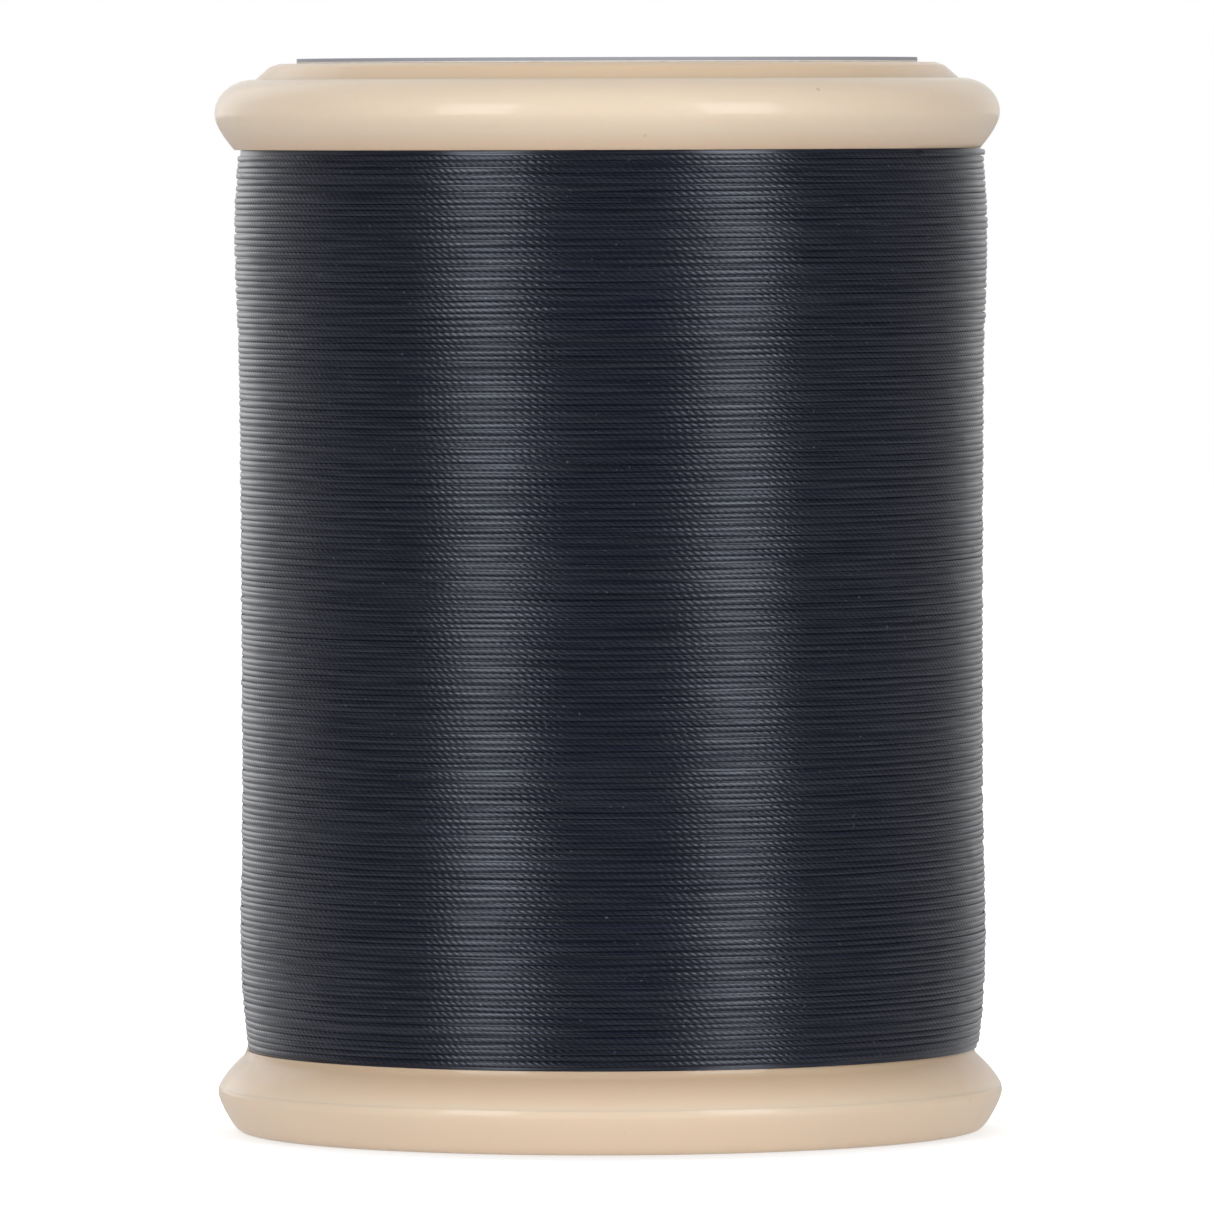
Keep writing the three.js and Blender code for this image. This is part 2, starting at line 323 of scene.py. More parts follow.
def tube(points, sides, radius_at):
    """Vertices and faces of a closed tube along the points. radius_at(turn, along) is its radius there."""
    tangents = np.gradient(points, axis=0)
    tangents /= np.linalg.norm(tangents, axis=1)[:, None]
    steps = np.linalg.norm(np.diff(points, axis=0), axis=1)
    length = np.concatenate([[0], np.cumsum(steps)])
    any_way = (0.1, 0.2, 1)
    side = np.cross(tangents[0], any_way)
    turn = np.arange(sides) * 2 * math.pi / sides
    rings = []
    for point, tangent, along in zip(points, tangents, length):
        side = side - tangent * side.dot(tangent)
        side /= np.linalg.norm(side)
        up = np.cross(tangent, side)
        radius = radius_at(turn, along)
        rings.append(point + np.outer(radius * np.cos(turn), side) + np.outer(radius * np.sin(turn), up))
    walls = grid_faces(sides, len(points))[:, ::-1]
    ends = [np.arange(sides)[::-1], np.arange(sides) + (len(points) - 1) * sides]
    return np.concatenate(rings), [*walls, *ends]


# ---------------------------------------------------------------------------------------------------------
# Materials
# ---------------------------------------------------------------------------------------------------------

class Paint:
    """A procedural material in the making, around a Principled shader."""

    def __init__(self, name):
        self.material = bpy.data.materials.new(name)
        self.material.use_nodes = True
        self.tree = self.material.node_tree
        self.shader = self.tree.nodes["Principled BSDF"]
        self.place = self.node("ShaderNodeTexCoord").outputs["Object"]

    def node(self, kind, settings=None, **inputs):
        """Adds a node. An input is a number, a colour or another node's output; _ stands for a space."""
        made = self.tree.nodes.new(kind)
        for name, value in (settings or {}).items():
            setattr(made, name, value)
        for name, value in inputs.items():
            self.plug(made.inputs[name.replace("_", " ")], value)
        return made

    def plug(self, socket, value):
        """Links another node's output to a socket, or sets the socket's own value."""
        if isinstance(value, bpy.types.NodeSocket):
            self.tree.links.new(value, socket)
        else:
            socket.default_value = value

    def stretch(self, across, up):
        """The place, with these many units to the metre across and up."""
        return self.node("ShaderNodeMapping", Vector=self.place, Scale=(across, across, up)).outputs[0]

    def noise(self, scale, detail=2.0, place=None):
        """Soft noise about 0.5, with that many waves to the metre."""
        found = self.node("ShaderNodeTexNoise", Vector=place or self.place, Scale=scale, Detail=detail)
        return found.outputs[0]

    def sums(self, operation, a, b=0.0):
        """A math operation on one or two values."""
        made = self.node("ShaderNodeMath", {"operation": operation})
        self.plug(made.inputs[0], a)
        self.plug(made.inputs[1], b)
        return made.outputs[0]

    def rescale(self, value, from_low, from_high, to_low=0.0, to_high=1.0):
        """Moves a value from one range to another, and keeps it inside."""
        return self.node("ShaderNodeMapRange", Value=value, From_Min=from_low, From_Max=from_high,
                         To_Min=to_low, To_Max=to_high).outputs[0]

    def mix(self, factor, first, second):
        """A colour between two colours."""
        made = self.node("ShaderNodeMix", {"data_type": "RGBA"})
        factor_in, first_in, second_in, colour_out = 0, 6, 7, 2
        self.plug(made.inputs[factor_in], factor)
        self.plug(made.inputs[first_in], first)
        self.plug(made.inputs[second_in], second)
        return made.outputs[colour_out]

    def bump(self, height, depth, strength=1.0, under=None):
        """Surface relief of that depth, in metres, over any other relief."""
        made = self.node("ShaderNodeBump", Height=height, Distance=depth, Strength=strength)
        if under:
            self.plug(made.inputs["Normal"], under)
        return made.outputs[0]

    def radius(self, from_y=0):
        """How far the place is from the spool's axis, or from an upright line near it, in millimetres."""
        flat = self.node("ShaderNodeVectorMath", {"operation": "MULTIPLY_ADD"})
        self.plug(flat.inputs[0], self.place)
        self.plug(flat.inputs[1], (1 / MM, 1 / MM, 0))
        self.plug(flat.inputs[2], (0, -from_y, 0))
        length = self.node("ShaderNodeVectorMath", {"operation": "LENGTH"}, Vector=flat.outputs[0])
        return length.outputs["Value"]

    def between(self, value, start, end, edge=0.02):
        """1 where the value is between start and end, with a soft edge, and 0 elsewhere."""
        rising = self.rescale(value, start - edge, start + edge)
        falling = self.rescale(value, end - edge, end + edge, 1.0, 0.0)
        return self.sums("MULTIPLY", rising, falling)

    def rings(self, radius, colour, ink, *spans):
        """A colour with rings of ink over it, each from one radius to another."""
        for start, end in spans:
            colour = self.mix(self.between(radius, start, end), colour, ink)
        return colour

    def set(self, **values):
        """Sets inputs of the Principled shader."""
        for name, value in values.items():
            self.plug(self.shader.inputs[name.replace("_", " ")], value)


def cream_plastic(name, pale=CREAM, shade_colour=CREAM, pale_z=0, shade_z=1):
    """Moulded polystyrene: glossy, a little cloudy, with fine flow lines and a few dark specks.

    Between the two heights, in millimetres, its colour goes from pale to a darker, warmer painted shade.
    """
    paint = Paint(name)
    height = paint.node("ShaderNodeSeparateXYZ", Vector=paint.place).outputs["Z"]
    painted_shade = paint.rescale(height, min(pale_z, shade_z) * MM, max(pale_z, shade_z) * MM,
                           float(pale_z > shade_z), float(pale_z < shade_z))
    clouds = paint.rescale(paint.noise(140, 3), 0.3, 0.7, 0.04, 0.0)
    # Painted shade: the colour darkens towards the shade colour near the thread or the ledge.
    cream = paint.mix(clouds, paint.mix(painted_shade, pale, shade_colour), (0.3, 0.2, 0.12, 1))
    flow = paint.noise(1, 3, paint.stretch(60, 1400))
    speck = paint.node("ShaderNodeTexVoronoi", Vector=paint.place, Scale=420.0).outputs["Distance"]
    rare = paint.rescale(paint.noise(90, 1), 0.56, 0.6)
    dot = paint.sums("MULTIPLY", paint.rescale(speck, 0.03, 0.06, 0.35, 0.0), rare)
    colour = paint.mix(dot, cream, (0.25, 0.16, 0.09, 1))
    waves = paint.bump(paint.noise(75, 2), 0.00006)
    grain = paint.bump(paint.noise(2600, 2), 0.0000016, under=waves)
    scuffs = paint.rescale(paint.noise(1, 4, paint.stretch(500, 500)), 0.55, 0.75, 0.0, 0.12)
    rough = paint.sums("ADD", paint.rescale(flow, 0.3, 0.7, 0.5, 0.57), scuffs)
    paint.set(Base_Color=colour, Roughness=rough, Normal=grain, IOR=1.55, Specular_IOR_Level=0.4)
    paint.set(Coat_Weight=0.32, Coat_Roughness=0.09, Sheen_Weight=0.05, Sheen_Roughness=0.4)
    paint.set(Subsurface_Weight=0.2, Subsurface_Radius=(1.0, 0.45, 0.25), Subsurface_Scale=0.0015)
    return paint.material


def navy_thread():
    """Spun polyester: dark, with a tone and a gloss that vary along the wraps, painted shade in the
    hollows, and a few specks of lint.
    """
    paint = Paint("navy_thread")
    wraps = paint.rescale(paint.noise(1, 1, paint.stretch(70, 3300)), 0.3, 0.7)
    lengths = paint.rescale(paint.noise(260, 2), 0.35, 0.65)
    tone = paint.sums("MULTIPLY", paint.sums("ADD", wraps, lengths), 0.5)
    navy = paint.mix(tone, (0.0008, 0.0017, 0.0073, 1), (0.0015, 0.0028, 0.0108, 1))
    hollow = paint.node("ShaderNodeAttribute", {"attribute_name": "hollow"}).outputs["Fac"]
    # Painted shade: the colour darkens in the hollows between wraps and between plies.
    painted_hollow_shade = paint.mix(paint.sums("MULTIPLY", hollow, 0.4), navy, (0.0006, 0.0008, 0.003, 1))
    streaks = paint.rescale(paint.noise(1, 2, paint.stretch(250, 16000)), 0.35, 0.65, 0.42, 1.0)
    gloss = paint.sums("MULTIPLY", streaks, paint.rescale(hollow, 0.0, 0.8, 0.95, 0.36))
    lint = paint.rescale(paint.noise(5200, 1), 0.74, 0.8, 0.0, 0.5)
    colour = paint.mix(lint, painted_hollow_shade, (0.11, 0.12, 0.14, 1))
    fibres = paint.bump(paint.noise(9000, 2), 0.000012, 0.35)
    round_axis = paint.node("ShaderNodeTangent", {"direction_type": "RADIAL", "axis": "Z"}).outputs[0]
    paint.set(Base_Color=colour, Roughness=0.34, Normal=fibres)
    paint.set(Specular_IOR_Level=gloss, Specular_Tint=(0.82, 0.87, 1.0, 1))
    paint.set(Anisotropic=0.92, Anisotropic_Rotation=0.25, Tangent=round_axis)
    return paint.material


def printed_label():
    """The top label: rings and small diamonds in blue and pale grey, with a greyer line at the edge."""
    paint = Paint("printed_label")
    radius = paint.radius()
    parts = paint.node("ShaderNodeSeparateXYZ", Vector=paint.place)
    angle = paint.sums("ARCTAN2", parts.outputs["Y"], parts.outputs["X"])
    diamonds = 36
    diamond_ring = 13.6
    wave = paint.sums("ABSOLUTE", paint.sums("SINE", paint.sums("MULTIPLY", angle, diamonds / 2)))
    from_ring = paint.sums("ABSOLUTE", paint.sums("SUBTRACT", radius, diamond_ring))
    from_middle = paint.sums("ADD", paint.sums("MULTIPLY", wave, 1.1), from_ring)
    diamond = paint.rescale(from_middle, 0.48, 0.54, 1.0, 0.0)
    fibres = paint.noise(2400, 3)
    blue = paint.mix(paint.rescale(fibres, 0.3, 0.7), (0.038, 0.055, 0.125, 1), (0.052, 0.07, 0.145, 1))
    pale = paint.mix(paint.rescale(fibres, 0.3, 0.7), (0.55, 0.56, 0.55, 1), (0.64, 0.64, 0.62, 1))
    field = paint.rings(radius, blue, pale, (7.6, 11.8), (12.3, 12.45), (14.75, 14.9), (15.35, 15.6))
    field = paint.rings(radius, field, blue, (8.0, 8.12), (11.2, 11.45))
    field = paint.mix(diamond, field, pale)
    edge = paint.rescale(radius, TOP_LABEL_RADIUS - 0.06, TOP_LABEL_RADIUS - 0.02)
    field = paint.mix(edge, field, (0.29, 0.3, 0.34, 1))
    wrinkle = paint.bump(paint.noise(210, 2), 0.00004)
    tooth = paint.bump(fibres, 0.000003, under=wrinkle)
    paint.set(Base_Color=field, Roughness=0.6, Normal=tooth, Specular_IOR_Level=0.25)
    return paint.material


def paper_stock(name, ringed):
    """Uncoated pale paper, with thin blue rings if it is the label under the base."""
    paint = Paint(name)
    fibres = paint.noise(2100, 4)
    colour = paint.mix(paint.rescale(fibres, 0.3, 0.7), (0.60, 0.59, 0.56, 1), (0.70, 0.69, 0.66, 1))
    if ringed:
        colour = paint.rings(paint.radius(), colour, (0.05, 0.07, 0.15, 1), (13.7, 14.1), (8.1, 8.35))
    tooth = paint.bump(fibres, 0.000008, under=paint.bump(paint.noise(160, 2), 0.00005))
    paint.set(Base_Color=colour, Roughness=0.85, Normal=tooth, Specular_IOR_Level=0.25)
    return paint.material


# ---------------------------------------------------------------------------------------------------------
# Pieces
# ---------------------------------------------------------------------------------------------------------

def cover(piece, material):
    """Gives the whole piece one material."""
    piece.data.materials.clear()
    piece.data.materials.append(material)


def stand_in(piece, node, body):
    """Hides the CAD node that the piece stands for, and hangs the piece on the body that carries it."""
    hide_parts(node)
    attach(piece, body)


def core_barrel():
    foot = LOWER_FLANGE_TOP_Z + FIT_GAP
    head = UPPER_FLANGE_UNDER_Z - FIT_GAP
    bore = SPIGOT_RADIUS + FIT_GAP
    return revolve("barrel_tube", [
        (bore, foot, 0.3), (BARREL_RADIUS, foot, 0.1), (BARREL_RADIUS, head, 0.1), (bore, head, 0.3),
    ])


def lower_flange():
    under = SEAM_Z + SEAM_GAP
    spigot_top = LOWER_FLANGE_TOP_Z + SPIGOT_LENGTH
    ridge = (FLANGE_RADIUS - 0.05, under)
    shoulder = (18.8, 3.7)
    thread_seat = (18.55, LOWER_FLANGE_TOP_Z)
    piece = revolve("flange_lower", [
        (SPIGOT_BORE_RADIUS, under),
        ridge,
        *bend(ridge, (19.6, 2.98), shoulder),
        *bend(shoulder, (18.6, 3.86), thread_seat, 6),
        (SPIGOT_RADIUS, LOWER_FLANGE_TOP_Z, 0.15),
        (SPIGOT_RADIUS, spigot_top, 0.3),
        (SPIGOT_BORE_RADIUS, spigot_top, 0.1),
    ])
    notch_width = 1
    notch_top = 3.15
    notch_inner = LOCK_LIP_RADIUS - 0.4
    notch_outer = FLANGE_RADIUS + 1
    notch = radial_block(
        NOTCH_ANGLE, notch_inner, notch_outer, notch_width, WEB_TOP_Z, notch_top, arched=True)
    carve(piece, "DIFFERENCE", [notch])
    return piece


def upper_flange():
    land = RIM_TOP_Z - 0.04
    recess_floor = 51.4
    recess_inner = 12
    recess_outer = 17.1
    spigot_end = UPPER_FLANGE_UNDER_Z - SPIGOT_LENGTH
    rim_foot = (19.1, UPPER_FLANGE_UNDER_Z + 0.12)
    rim_waist = (FLANGE_RADIUS, RIM_WIDEST_Z)
    rim_reach = FLANGE_RADIUS - CAP_LAND_RADIUS
    piece = revolve("flange_upper", [
        (SPIGOT_BORE_RADIUS, spigot_end, 0.1),
        (SPIGOT_RADIUS, spigot_end, 0.3),
        (SPIGOT_RADIUS, UPPER_FLANGE_UNDER_Z, 0.15),
        (19, UPPER_FLANGE_UNDER_Z, 0.05),
        rim_foot,
        *bend(rim_foot, (FLANGE_RADIUS, 51.2), rim_waist, 14),
        *quarter_ellipse((CAP_LAND_RADIUS, RIM_WIDEST_Z), rim_reach, RIM_TOP_Z - RIM_WIDEST_Z),
        (CAP_LAND_RADIUS - 0.02, land),
        (recess_outer, land, 0.1),
        (recess_outer, recess_floor, 0.3),
        (recess_inner, recess_floor, 0.3),
        (recess_inner, land, 0.1),
        (SPIGOT_BORE_RADIUS, land, 0.1),
    ])
    ribs = 8
    rib_thickness = 0.9
    rib_top = land - 0.6
    rooted = 0.3
    carve(piece, "UNION", [radial_block(
        (rib + 0.5) * 2 * math.pi / ribs, recess_inner - rooted, recess_outer + rooted, rib_thickness,
        recess_floor - rooted, rib_top, arched=True) for rib in range(ribs)])
    return piece


def top_cap():
    under = RIM_TOP_Z
    plug_end = under - 3
    plug_bore = COLLAR_RADIUS - 0.9
    collar_end = under - 4
    socket = PIN_TUBE_RADIUS + FIT_GAP
    mouth = PIN_BORE_RADIUS + 0.2
    return revolve("cap_disc", [
        (mouth, under),
        (socket, under, 0.05),
        (socket, collar_end, 0.1),
        (HUB_RADIUS, collar_end, 0.1),
        (HUB_RADIUS, under, 0.2),
        (plug_bore, under, 0.2),
        (plug_bore, plug_end, 0.1),
        (COLLAR_RADIUS, plug_end, 0.3),
        (COLLAR_RADIUS, under, 0.1),
        (CAP_RADIUS, under),
        (17.2, CAP_TOP_Z - 0.17, 0.25),
        (16.7, CAP_TOP_Z, 0.5),
        (mouth, CAP_TOP_Z, 0.4),
    ])


def pin_tube():
    foot = FOOT_RECESS_Z + FIT_GAP
    head = RIM_TOP_Z - FIT_GAP
    return revolve("pin_sleeve", [
        (PIN_BORE_RADIUS, foot, 0.3), (PIN_TUBE_RADIUS, foot, 0.3),
        (PIN_TUBE_RADIUS, head, 0.05), (PIN_BORE_RADIUS, head, 0.05),
    ])


def snap_base():
    hub_bore = PIN_TUBE_RADIUS + FIT_GAP
    collar_bore = COLLAR_RADIUS - 1.25
    hook_under = LOWER_FLANGE_TOP_Z + SPIGOT_LENGTH + SNAP_TRAVEL + FIT_GAP
    hook_top = hook_under + 0.9
    hook_reach = COLLAR_RADIUS + 0.75
    hub_top = 7
    foot_inner = 15.8
    foot_outer = 18.75
    foot = (foot_outer, 0)
    heel = (19.3, 0.46)
    ridge = (FLANGE_RADIUS - 0.01, 1.9)
    brow = (FLANGE_RADIUS - 0.05, SEAM_Z)
    piece = revolve("base_snap", [
        (hub_bore, FOOT_RECESS_Z, 0.2),
        (foot_inner - 0.2, FOOT_RECESS_Z, 0.3),
        (foot_inner, 0, 0.25),
        foot,
        *bend(foot, (19, 0.03), heel, 6),
        *bend(heel, (19.85, 1.3), ridge),
        *bend(ridge, (FLANGE_RADIUS + 0.005, 2.12), brow, 8),
        (LOCK_LIP_RADIUS, SEAM_Z, 0.1),
        (LOCK_LIP_RADIUS - 0.15, WEB_TOP_Z, 0.2),
        (COLLAR_RADIUS, WEB_TOP_Z, 0.3),
        (COLLAR_RADIUS, hook_under, 0.1),
        (hook_reach, hook_under, 0.1),
        (hook_reach, hook_under + 0.3, 0.1),
        (COLLAR_RADIUS - 0.3, hook_top, 0.15),
        (collar_bore, hook_top, 0.1),
        (collar_bore, WEB_TOP_Z, 0.3),
        (HUB_RADIUS, WEB_TOP_Z, 0.3),
        (HUB_RADIUS, hub_top, 0.1),
        (hub_bore, hub_top, 0.2),
    ])
    fingers = 4
    slot_width = 2.4
    slot_foot = WEB_TOP_Z + 1.6
    clear = 0.5
    carve(piece, "DIFFERENCE", [radial_block(
        (finger + 0.5) * 2 * math.pi / fingers, collar_bore - clear, hook_reach + clear, slot_width,
        slot_foot, hook_top + clear) for finger in range(fingers)])
    return piece


def sticker(name, hole_radius, outer_radius, foot, head, stock, face, printed_upwards):
    """A round label with a hole: print on one face and over part of its edge, bare paper on the rest."""
    bare = 0.07
    side = 1 if printed_upwards else -1
    print_starts = foot + bare if printed_upwards else head - bare
    piece = revolve(name, [
        (hole_radius, foot, 0.03), (outer_radius, foot, 0.03), (outer_radius, print_starts),
        (outer_radius, head, 0.03), (hole_radius, head, 0.03),
    ])
    piece.data.materials.append(stock)
    piece.data.materials.append(face)
    for polygon in piece.data.polygons:
        polygon.material_index = int((polygon.center.z / MM - print_starts) * side > 0)
    return piece


def top_label(stock, face):
    hole = PIN_BORE_RADIUS + 0.9
    foot = CAP_TOP_Z + SEAM_GAP
    return sticker("label_top", hole, TOP_LABEL_RADIUS, foot, SPOOL_TOP_Z, stock, face, True)


def base_label(stock, face):
    hole = PIN_BORE_RADIUS + 3
    foot = low("base_label").z
    head = FOOT_RECESS_Z - SEAM_GAP
    return sticker("label_base", hole, BASE_LABEL_RADIUS, foot, head, stock, face, False)


# ---------------------------------------------------------------------------------------------------------
# Thread
# ---------------------------------------------------------------------------------------------------------

def package_outline():
    """Heights and radii of the wound thread's outer face, from the CAD node, smoothed."""
    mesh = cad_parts["thread_package"].data
    points = np.empty(len(mesh.vertices) * 3)
    mesh.vertices.foreach_get("co", points)
    points = points.reshape(-1, 3) / MM
    radius = np.hypot(points[:, 0], points[:, 1])
    outer = radius > BARREL_RADIUS + 1
    levels = np.unique(np.round(points[outer, 2], 3))
    near = 0.002
    widths = np.array([radius[outer & (np.abs(points[:, 2] - level) < near)].max() for level in levels])
    samples = 400
    heights = np.linspace(levels[0], levels[-1], samples)
    reach = 15
    window = 2 * reach + 1
    widths = np.pad(np.interp(heights, levels, widths), reach, mode="edge")
    return heights, np.convolve(widths, np.ones(window) / window, mode="valid")


def smooth_step(value):
    """Goes from 0 to 1 as the value does, with a soft start and a soft end."""
    value = np.clip(value, 0, 1)
    return value * value * (3 - 2 * value)


def wander(random, count, spacing, size):
    """A smooth random curve of `count` values about zero, with knots `spacing` values apart."""
    knots = random.normal(0, size, int(count / spacing) + 4)
    position = np.arange(count) / spacing
    start = position.astype(int)
    part = smooth_step(position - start)
    return knots[start] * (1 - part) + knots[start + 1] * part


def ply_hollow(angle):
    """How deep in the hollow between two plies a line of the twist is: 1 in it, and 0 on a ply's crest."""
    return (0.5 + 0.5 * np.cos(angle)) ** 1.5


class Winding:
    """One long thread, wound upwards and anticlockwise from the back, as a ribbon with a round face.

    Its mesh follows the plies: each column of vertices runs slantwise across the wrap along one line of the
    twist, so that the hollows between plies are edges of the mesh.
    """

    COLUMNS_PER_PLY = 4
    FACE_ANGLES = np.radians([-80, -40, 0, 40, 80])
    MEAN_RADIUS = 18.87
    BANDS = 10
    # Heights where the thread starts and ends, and the part of a turn that it goes on past the back
    LOW_Z = LOWER_FLANGE_TOP_Z + WRAP_HALF_HEIGHT + 0.03
    HIGH_Z = UPPER_FLANGE_UNDER_Z - WRAP_HALF_HEIGHT - 0.02
    PART_TURN = 0.19
    # The uppermost wrap rides on its neighbour from this angle on, this far up and this far out.
    RIDE_ANGLE = math.radians(-36.3)
    RIDE_UP = 0.08
    RIDE_OUT = 0.09

    def __init__(self, seed):
        random = np.random.default_rng(seed)
        self.heights, self.widths = package_outline()
        self.turns = round((self.HIGH_Z - self.LOW_Z) / WRAP_PITCH) + self.PART_TURN
        self.pitch = (self.HIGH_Z - self.LOW_Z) / self.turns
        step = LAY / PLIES / self.COLUMNS_PER_PLY
        length = self.turns * 2 * math.pi * self.MEAN_RADIUS
        self.count = int(length / step)

        def drift(spacing, size):
            """A random change along the thread, with knots that far apart in millimetres."""
            return wander(random, self.count, spacing / step, size)

        index = np.arange(self.count)
        self.along = index * step + drift(5, 0.12)
        self.sway = drift(9, 0.018) + drift(34, 0.03)
        self.rise = drift(7, 0.012) + drift(27, 0.012) + drift(1.3, 0.006)
        self.roll = drift(6, 0.08)
        self.phase = index % self.COLUMNS_PER_PLY / self.COLUMNS_PER_PLY

    def crest(self, height):
        """The winding's radius at that height."""
        return np.interp(height, self.heights, self.widths)

    def riding(self, turn):
        """How far the thread has climbed onto its neighbour, from 0 to 1. It does so in its last turn."""
        last_turn = 2 * math.pi * (self.turns - 1)
        start = (self.RIDE_ANGLE - NOTCH_ANGLE - last_turn) % (2 * math.pi)
        climb = 0.03
        return smooth_step((turn - last_turn - start) / climb)

    def columns(self, first, last):
        """Vertices of the columns from first to last, and how deep in a hollow each one is."""
        pick = slice(first, last)
        along = self.along[pick, None] - self.FACE_ANGLES / (2 * math.pi) * LAY
        turn = along / self.MEAN_RADIUS
        angle = NOTCH_ANGLE + turn
        height = self.LOW_Z + self.pitch * turn / (2 * math.pi)
        riding = self.riding(turn)
        # Close to the flanges, the wraps have less room to sway.
        full_room = 0.6
        least_freedom = 0.25
        room = np.minimum(height - self.LOW_Z, self.HIGH_Z - height)
        freedom = np.minimum(1, room / full_room + least_freedom)
        centre_z = height + self.sway[pick, None] * freedom + self.RIDE_UP * riding
        centre_r = self.crest(height) - WRAP_HALF_DEPTH + self.rise[pick, None] + self.RIDE_OUT * riding
        between_plies = ply_hollow(2 * math.pi * self.phase[pick, None])
        size = 1 - PLY_RELIEF * between_plies
        # The plies' relief is a little less in height than in depth.
        height_relief = 0.8
        face = self.FACE_ANGLES + self.roll[pick, None] * np.cos(self.FACE_ANGLES)
        radius = centre_r + WRAP_HALF_DEPTH * size * np.cos(face)
        z = centre_z + WRAP_HALF_HEIGHT * (1 - height_relief * (1 - size)) * np.sin(face)
        x = WINDING_OFF_CENTRE + radius * np.cos(angle)
        vertices = np.stack([x, radius * np.sin(angle), z], axis=2)
        # How deep in a hollow each vertex is; the thread's material paints shade in the hollows from it.
        between_wraps = 0.8 * np.abs(np.sin(self.FACE_ANGLES)) ** 4
        hollow = np.maximum(0.6 * between_plies, between_wraps)
        return vertices.reshape(-1, 3), hollow.ravel()

    def band(self, number):
        """One of the pieces that the long thread is split into."""
        first = number * (self.count - 1) // self.BANDS
        last = (number + 1) * (self.count - 1) // self.BANDS + 1
        vertices, hollow = self.columns(first, last)
        rows = len(self.FACE_ANGLES)
        columns = last - first
        faces = list(grid_faces(rows, columns))
        faces += [np.arange(rows), (columns - 1) * rows + np.arange(rows)[::-1]]
        piece = mesh_object(f"thread_wraps_{number + 1:02d}", vertices, faces, crease=75)
        piece.data.attributes.new("hollow", "FLOAT", "POINT").data.foreach_set("value", hollow)
        return piece

    def inner_layers(self):
        """What lies behind the wraps on show: the layers below, as one body."""
        end_gap = 0.02
        depth = 0.12
        foot = LOWER_FLANGE_TOP_Z + end_gap
        head = UPPER_FLANGE_UNDER_Z - end_gap
        levels = np.linspace(foot, head, 60)
        face = [(float(self.crest(level)) - depth, float(level)) for level in levels]
        bore = BARREL_RADIUS + FIT_GAP + WINDING_OFF_CENTRE
        piece = revolve("thread_inner_layers", [(bore, foot), *face, (bore, head)])
        piece.data.transform(Matrix.Translation((WINDING_OFF_CENTRE * MM, 0, 0)))
        return piece


def thread_tail():
    """The running end, with its three plies in relief."""
    spacing = 0.05
    points = evenly(through(thread_end_route(), 24), spacing)

    def radius_at(turn, along):
        between_plies = ply_hollow(PLIES * (turn + 2 * math.pi * along / LAY))
        return THREAD_DIAMETER / 2 * (1 - PLY_RELIEF * between_plies)

    vertices, faces = tube(points, 24, radius_at)
    return mesh_object("thread_tail", vertices, faces, crease=60)


def stray_fibres(winding, count, seed):
    """Short lint fibres that touch the wraps in the middle, and lift off them at both ends."""
    random = np.random.default_rng(seed)
    clearance = 0.012
    vertices = []
    faces = []
    offset = 0
    for _ in range(count):
        length = random.uniform(0.3, 1.3)
        angle = random.uniform(0, 2 * math.pi)
        height = random.uniform(5, 49)
        slant = random.normal(0, 0.5)
        curl = random.normal(0, 1.2)
        lift = random.uniform(0.005, 0.12)
        part = np.linspace(-0.5, 0.5, 9)
        heading = slant + curl * part
        across = np.cumsum(np.cos(heading)) * length / len(part)
        up = np.cumsum(np.sin(heading)) * length / len(part)
        z = height + up
        radius = winding.crest(z) + clearance + lift * (2 * part) ** 2
        turn = angle + across / winding.MEAN_RADIUS
        x = WINDING_OFF_CENTRE + radius * np.cos(turn)
        points = np.stack([x, radius * np.sin(turn), z], axis=1)
        thickness = random.uniform(0.006, 0.01)
        strand, walls = tube(points, 4, lambda turn, along: np.full(turn.shape, thickness))
        vertices.append(strand)
        faces += [face + offset for face in walls]
        offset += len(strand)
    return mesh_object("stray_fibres", np.concatenate(vertices), faces)


# ---------------------------------------------------------------------------------------------------------
# Studio
# ---------------------------------------------------------------------------------------------------------

def add_floor():
    """A floor that goes down with the base. Its own light makes it white, but less so close to the foot, as
    a painted contact shadow.
    """
    mesh = bpy.data.meshes.new("floor")
    half = 1.2
    corners = [(-half, -half, 0), (half, -half, 0), (half, half, 0), (-half, half, 0)]
    mesh.from_pydata(corners, [], [(0, 1, 2, 3)])
    floor = bpy.data.objects.new("floor", mesh)
    bpy.context.collection.objects.link(floor)
    paint = Paint("white_floor")
    given_light = paint.rescale(paint.radius(), 25, 70, 0.35, 0.15)
    # Painted contact shadow: the glow that the camera sees is lower near the foot, reaching further in
    # front.
    seen_glow_painted_shadow = paint.rescale(paint.radius(from_y=-3), 16.5, 24.0, 0.4, 1.0)
    is_seen = paint.node("ShaderNodeLightPath").outputs["Is Camera Ray"]
    glow = paint.sums("MAXIMUM", given_light, paint.sums("MULTIPLY", is_seen, seen_glow_painted_shadow))
    paint.set(Base_Color=(0.5, 0.5, 0.5, 1), Roughness=0.9, Specular_IOR_Level=0.0)
    paint.set(Emission_Color=(1, 1, 1, 1), Emission_Strength=glow)
    mesh.materials.append(paint.material)
    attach(floor, "base")


def add_softbox(name, azimuth, height, power):
    """A tall softbox that faces the spool's middle. Azimuth 0 is the camera's side. Sizes are in metres."""
    elevation = 16
    distance = 0.7
    width = 0.28
    light = bpy.data.lights.new(name, "AREA")
    light.shape = "RECTANGLE"
    light.size = width
    light.size_y = height
    light.energy = power
    lamp = bpy.data.objects.new(name, light)
    middle = Vector((0, 0, 27)) * MM
    turn = math.radians(azimuth - 90)
    tilt = math.radians(elevation)
    away = Vector((math.cos(turn) * math.cos(tilt), math.sin(turn) * math.cos(tilt), math.sin(tilt)))
    lamp.location = middle + away * distance
    lamp.rotation_euler = (-away).to_track_quat("-Z", "Y").to_euler()
    lamp.visible_camera = False
    bpy.context.collection.objects.link(lamp)


